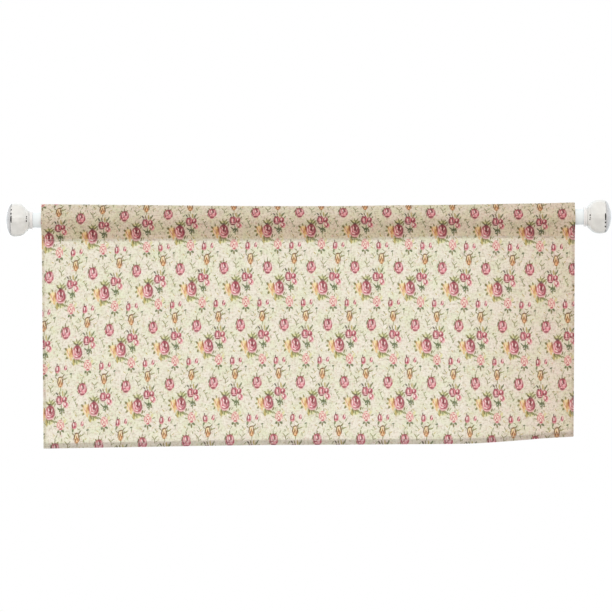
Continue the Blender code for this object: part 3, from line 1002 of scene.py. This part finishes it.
# The knob's outline in three smooth stretches with a sharp turn between two: the end, the
# cut barrel and the turned neck. Depth is measured from the tip.
KNOB_END = (
    Ring(0.0000, 0.0060, 1.0),
    Ring(0.0012, 0.0126, 1.0),
    Ring(0.0030, 0.0190, 1.0),
    Ring(0.0058, 0.0255, 0.9),
    Ring(0.0086, 0.0300, 0.6),
    Ring(0.0106, 0.0324, 0.2),
)
KNOB_BARREL = (
    Ring(0.0120, 0.0330, 0.0),
    Ring(0.0165, 0.0342, 0.0),
    Ring(0.0215, 0.0347, 0.0),
    Ring(0.0275, 0.0342, 0.0),
    Ring(0.0345, 0.0312, 0.1),
    Ring(0.0396, 0.0260, 0.6),
)
KNOB_NECK = (
    Ring(0.0406, 0.0234, 1.0),
    Ring(0.0420, 0.0225, 1.0),
    Ring(0.0442, 0.0206, 1.0),
    Ring(0.0453, 0.0177, 1.0),
    Ring(0.0469, 0.0170, 1.0),
)
GROOVE = Ring(0.0113, 0.0316, 0.0)
KNOB_FACES = 6
NARROW_FACE_DEG = 14.0
KNOB_SIDES = 180
KNOB_ROUNDING_DEG = 1.4
ROUNDING_STEPS = 5
RINGS_PER_STRETCH = 14
KNOB_SHARP_DEG = 14.0  # edges sharper than this stay crisp

# Painted reflections: thin dark strips laid on the cut edge of the rim and round the neck, where the
# clear knob shows dark reflections. Low and high are angles in degrees over the side that faces the
# room, positive upwards.
Glint = namedtuple("Glint", "depth half low high")
GLINTS = (
    Glint(0.0131, 0.0014, -12.0, 15.5),
    Glint(0.0130, 0.0013, 18.0, 26.0),
    Glint(0.0130, 0.0012, 34.5, 42.0),
    Glint(0.0127, 0.0005, 47.0, 76.0),
    Glint(0.0414, 0.0012, -11.0, -1.0),
    Glint(0.0413, 0.0010, 3.0, 9.5),
    Glint(0.0418, 0.0010, 11.5, 19.0),
)
GLINT_ROWS = 8
GLINT_COLUMNS = 4
GLINT_LIFT = 0.0002  # off the knob
GLINT_SINK = 0.0001  # of its edges, into the knob
GLINT_END = 0.05  # square of the width, as a share of the middle's, to which a glint narrows

# Collars. A row of the profile is a share of the length and of the radius. Their two beads
# mirror each other.
COLLAR_SHARP_DEG = 50.0
COLLAR_OVERLAP = 0.0004  # onto the rod and the knob, and into the rod's surface
COLLAR_GROWTH = 1.07  # of the beads over the plain ring
COLLAR_BEAD = (
    (0.00, 0.90),
    (0.05, 0.95),
    (0.14, 0.99),
    (0.24, 1.00),
    (0.34, 0.99),
    (0.43, 0.95),
    (0.47, 0.92),
)


def facet_share(angle):
    """Radius of the cut section at an angle, as a share of its corner's radius."""
    pitch = 2 * math.pi / KNOB_FACES
    narrow = math.radians(NARROW_FACE_DEG)
    wide = pitch - narrow
    off_middle = abs((angle % pitch) - pitch / 2)
    if off_middle > wide / 2:
        off_narrow = pitch / 2 - off_middle
        return math.cos(narrow / 2) / math.cos(off_narrow)
    return math.cos(wide / 2) / math.cos(off_middle)


def rounded_share(angle):
    """The cut section's radius again, with its corners a little worn."""
    reach = math.radians(KNOB_ROUNDING_DEG)
    total = 0.0
    for step in range(ROUNDING_STEPS):
        total += facet_share(angle + reach * (2 * step / (ROUNDING_STEPS - 1) - 1))
    return total / ROUNDING_STEPS


def knob_rings():
    rings = []
    for stretch in (KNOB_END, KNOB_BARREL, KNOB_NECK):
        first, last = stretch[0].depth, stretch[-1].depth
        for step in range(RINGS_PER_STRETCH + 1):
            rings.append(smooth_read(stretch, first + (last - first) * step / RINGS_PER_STRETCH))
        if stretch is KNOB_END:
            rings.append(GROOVE)
    return rings


def knob_point(ring, angle, base_x, side, lift=0.0):
    share = rounded_share(angle)
    radius = ring.radius * (share + (1 - share) * ring.round) + lift
    out = side * (KNOB_NECK[-1].depth - ring.depth)
    return base_x + out, -radius * math.cos(angle), radius * math.sin(angle)


def ring_faces(ring, next_ring, backwards):
    """The faces between two rings of corners."""
    faces = []
    a, b = ring * KNOB_SIDES, next_ring * KNOB_SIDES
    for i in range(KNOB_SIDES):
        j = (i + 1) % KNOB_SIDES
        face = (a + i, a + j, b + j, b + i)
        faces.append(face[::-1] if backwards else face)
    return faces


def make_finial(word, side, material, dome_shade_material, glint_material):
    """A cut knob in place of the plain one, on the same spot, with painted shade on its dome and thin
    dark strips of painted reflection on it.
    """
    name = f"finial_{word}"
    low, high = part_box(name)
    base_x = low.x if side > 0 else high.x
    rings = knob_rings()
    vertices, faces = [], []
    for ring in rings:
        for i in range(KNOB_SIDES):
            vertices.append(knob_point(ring, 2 * math.pi * i / KNOB_SIDES, base_x, side))
    for ring in range(len(rings) - 1):
        faces += ring_faces(ring, ring + 1, side < 0)
    tip = tuple(range(KNOB_SIDES))
    neck = tuple(range((len(rings) - 1) * KNOB_SIDES, len(rings) * KNOB_SIDES))
    faces.append(tip[::-1] if side > 0 else tip)
    faces.append(neck if side > 0 else neck[::-1])
    mesh = smooth_mesh(f"cut_knob_{word}", vertices, faces)
    mesh.set_sharp_from_angle(angle=math.radians(KNOB_SHARP_DEG))
    add_piece(mesh, [material, dome_shade_material], [name])
    # The dome's faces take a greyer copy of the knob's material: painted shade
    dome_faces = (RINGS_PER_STRETCH + 1) * KNOB_SIDES
    for i, face in enumerate(mesh.polygons):
        face.material_index = 1 if i < dome_faces or i == len(faces) - 2 else 0
    make_glints(word, side, base_x, glint_material)


def make_glints(word, side, base_x, material):
    """Thin dark strips of painted reflection on a knob; the right knob's are the left one's upside down.
    """
    vertices, faces = [], []
    for glint in GLINTS:
        table = KNOB_BARREL if glint.depth < KNOB_BARREL[-1].depth else KNOB_NECK
        first = len(vertices)
        for row in range(GLINT_ROWS + 1):
            share = row / GLINT_ROWS
            angle = math.radians(glint.low + (glint.high - glint.low) * share) * -side
            for column in range(GLINT_COLUMNS + 1):
                place = 2 * column / GLINT_COLUMNS - 1
                narrow = math.sqrt(max(1 - (2 * share - 1) ** 4, GLINT_END))
                ring = smooth_read(table, glint.depth + glint.half * place * narrow)
                edge = row in (0, GLINT_ROWS) or column in (0, GLINT_COLUMNS)
                lift = -GLINT_SINK if edge else GLINT_LIFT
                vertices.append(knob_point(ring, angle, base_x, side, lift))
        width = GLINT_COLUMNS + 1
        for row in range(GLINT_ROWS):
            for column in range(GLINT_COLUMNS):
                a = first + row * width + column
                faces.append((a, a + width, a + width + 1, a + 1))
    mesh = smooth_mesh(f"knob_painted_reflections_{word}", vertices, faces)
    add_piece(mesh, [material])


def make_collar(word, material):
    """A beaded ring between the rod and the knob, in place of the plain one."""
    name = f"collar_{word}"
    low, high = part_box(name)
    radius = (high.z - low.z) / 2 * COLLAR_GROWTH
    start, end = low.x - COLLAR_OVERLAP, high.x + COLLAR_OVERLAP
    profile = [(0.0, (ROD_RADIUS - COLLAR_OVERLAP) / radius), *COLLAR_BEAD]
    profile += [(1 - along, share) for along, share in profile[::-1]]
    vertices, faces = [], []
    for along, share in profile:
        for i in range(KNOB_SIDES):
            angle = 2 * math.pi * i / KNOB_SIDES
            x = start + (end - start) * along
            y, z = -radius * share * math.cos(angle), radius * share * math.sin(angle)
            vertices.append((x, y, z))
    for ring in range(len(profile)):
        faces += ring_faces(ring, (ring + 1) % len(profile), True)
    mesh = smooth_mesh(f"beaded_{name}", vertices, faces)
    mesh.set_sharp_from_angle(angle=math.radians(COLLAR_SHARP_DEG))
    add_piece(mesh, [material], [name])


# Camera and light
LENS_DISTANCE = 7.0
PHOTO_WIDTH = 1.1644  # of the picture, at the cloth
SENSOR = 36.0
VIEW_CENTRE = (-0.0053, -0.1666)
CAMERA_ROLL_DEG = 0.34
WORLD_LOW = 0.70  # strength of the light from below, and from above
WORLD_HIGH = 1.24
WORLD_FRONT = (1.04, 0.98, 0.91, 1)  # warm room light
WORLD_BACK = (0.93, 0.98, 1.00, 1)  # cool light from behind
WORLD_BLEND = 0.5
WINDOW_PLACE = (-0.30, 0.28, -0.20)
WINDOW_TURN = (math.radians(-90), 0, 0)
WINDOW_TINT = (0.97, 0.99, 1.0)
KEY_PLACE = (-0.9, -1.5, 1.0)
KEY_TURN = Vector(KEY_PLACE).to_track_quat("Z", "Y").to_euler()
KEY_TINT = (1.0, 1.0, 1.0)


def make_camera():
    data = bpy.data.cameras.new("camera")
    data.sensor_width = SENSOR
    data.lens = SENSOR * LENS_DISTANCE / PHOTO_WIDTH
    camera = bpy.data.objects.new("camera", data)
    camera.location = (VIEW_CENTRE[0], -LENS_DISTANCE, VIEW_CENTRE[1])
    camera.rotation_euler = (math.radians(90), math.radians(CAMERA_ROLL_DEG), 0)
    bpy.context.scene.collection.objects.link(camera)
    bpy.context.scene.camera = camera


def make_world():
    """Even soft light, a little stronger from above, and plain white behind the object."""
    world = bpy.data.worlds.new("studio")
    world.use_nodes = True
    world.node_tree.nodes.clear()
    shader = Shader("studio", world.node_tree)
    place = shader.add("ShaderNodeTexCoord", {}, "Generated")
    split = shader.add("ShaderNodeSeparateXYZ", {0: place}).node
    strength = shader.span(split.outputs[2], -1.0, 1.0, WORLD_LOW, WORLD_HIGH)
    behind = shader.span(split.outputs[1], -WORLD_BLEND, WORLD_BLEND)
    tint = shader.mix(behind, WORLD_FRONT, WORLD_BACK)
    light = shader.add("ShaderNodeBackground", {"Color": tint, "Strength": strength})
    white = shader.add("ShaderNodeBackground", {"Color": (1, 1, 1, 1)})
    seen = shader.add("ShaderNodeLightPath", {}, "Is Camera Ray")
    shader.finish(shader.add("ShaderNodeMixShader", {0: seen, 1: light, 2: white}), "World")
    bpy.context.scene.world = world
    bpy.context.scene.view_settings.view_transform = "Standard"


def add_lamp(name, place, turn, tint, size, power, spread_deg):
    """A rectangular soft lamp that isn't seen itself."""
    data = bpy.data.lights.new(name, "AREA")
    data.shape = "RECTANGLE"
    data.size, data.size_y = size
    data.energy = power
    data.spread = math.radians(spread_deg)
    data.color = tint
    lamp = bpy.data.objects.new(name, data)
    lamp.location = place
    lamp.rotation_euler = turn
    lamp.visible_camera = False
    bpy.context.scene.collection.objects.link(lamp)


make_camera()
make_world()
add_lamp("window_light", WINDOW_PLACE, WINDOW_TURN, WINDOW_TINT, size=(1.42, 1.0), power=1.5,
         spread_deg=100)
add_lamp("key_light", KEY_PLACE, KEY_TURN, KEY_TINT, size=(0.3, 0.3), power=1.6, spread_deg=180)
strokes = [
    stroke_group("rose_strokes", ROSE_WINDOW, ROSE_DABS),
    stroke_group("bud_strokes", BUD_WINDOW, BUD_DABS),
]
front = cloth_material("flowered_cloth", 0.0, strokes)
wrong = cloth_material("cloth_back", 0.45, strokes)
make_cloth([front, wrong], thread_material())
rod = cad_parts["curtain_rod"]
rod.data.materials.clear()
rod.data.materials.append(metal_material())
knob = knob_material("pale_knob", paint(226, 228, 228), paint(238, 240, 240), 0.10)
# A greyer copy of the same resin for the dome: painted shade
dome = knob_material("dome_painted_shade", paint(204, 206, 211), paint(226, 228, 233), 0.20)
collar = knob_material("pale_collar", paint(234, 234, 236), paint(246, 246, 248), 0.0)
# Near-black, barely reflecting finish for the strips of painted dark reflection
dark, flash = paint(20, 19, 21), paint(58, 54, 57)
glint = knob_material("painted_dark_reflection", dark, flash, 0.0, coat=0.0, bending=1.15)
for word, side in (("left", -1), ("right", 1)):
    make_finial(word, side, knob, dome, glint)
    make_collar(word, collar)
